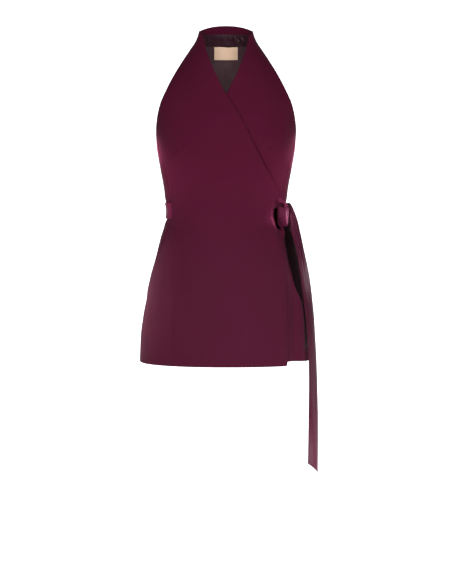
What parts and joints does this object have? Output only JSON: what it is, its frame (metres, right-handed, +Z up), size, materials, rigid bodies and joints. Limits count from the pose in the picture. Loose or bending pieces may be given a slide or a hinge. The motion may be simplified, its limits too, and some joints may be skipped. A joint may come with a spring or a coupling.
{
  "type": "waistcoat",
  "caption": "Sleeveless halter-neck wrap waistcoat in crepe cloth, lapped across the front and knotted at the left of the waist with a satin tie.",
  "frame": {"origin": "the middle of the collar's inner face at the nape, where the wearer's neck holds the waistcoat", "axes": "+X to the wearer's left, -Y to the front, +Z up"},
  "size_m": [0.3647, 0.2486, 0.9117],
  "materials": {
    "crepe": "matt burgundy crepe",
    "satin": "burgundy satin with a soft sheen",
    "lining": "dark satin lining",
    "woven_label": "bare woven cream label"
  },
  "bodies": {
    "root": {"front_right": "crepe", "front_left": "crepe", "back": "crepe", "collar": "crepe", "back_lining": "lining", "neck_lining": "satin", "label": "woven_label", "belt": "satin", "knot_band": "satin", "knot_core": "satin", "tie_tab": "satin", "tie_tail": "satin"}
  },
  "joints": []
}
